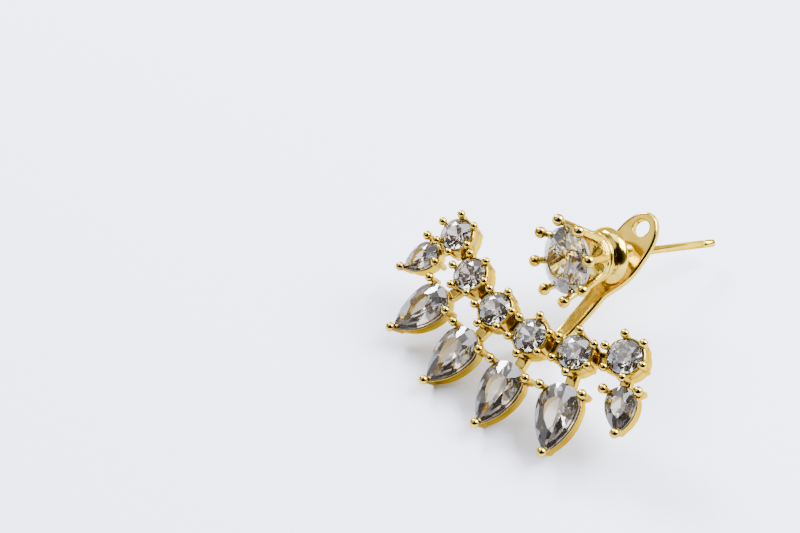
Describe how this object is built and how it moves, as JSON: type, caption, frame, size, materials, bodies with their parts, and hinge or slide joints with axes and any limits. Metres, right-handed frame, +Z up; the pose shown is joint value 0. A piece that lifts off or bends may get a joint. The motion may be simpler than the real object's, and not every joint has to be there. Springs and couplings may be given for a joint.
{
  "type": "ear jacket earring",
  "caption": "Gold-plated ear jacket: a solitaire stud swivels in a pierced plate, whose arm bends under the lobe to a curved fan of round and pear stones.",
  "frame": {"origin": "middle of the bounding box's underside, on the surface that the earring lies on", "axes": "+X to the right across the fan, -Y towards the pear stones' tips, +Y towards the ear post's free end, +Z up"},
  "size_m": [0.0278, 0.0325, 0.0121],
  "materials": {
    "gold": "polished yellow gold plating over cast brass",
    "stone": "clear cut cubic zirconia, polished facets"
  },
  "bodies": {
    "jacket_body": {"jacket": "gold", "round_stone_1": "stone", "round_stone_2": "stone", "round_stone_3": "stone", "round_stone_4": "stone", "round_stone_5": "stone", "round_stone_6": "stone", "pear_stone_1": "stone", "pear_stone_2": "stone", "pear_stone_3": "stone", "pear_stone_4": "stone", "pear_stone_5": "stone", "pear_stone_6": "stone"},
    "stud_body": {"stud_setting": "gold", "stud_stone": "stone"}
  },
  "joints": [
    {"name": "stud_swivel", "type": "hinge", "parent": "jacket_body", "child": "stud_body", "pos_m": [0, 0.00561, 0.00574], "axis": [-0.1533, -0.9323, 0.3274], "continuous": true}
  ]
}
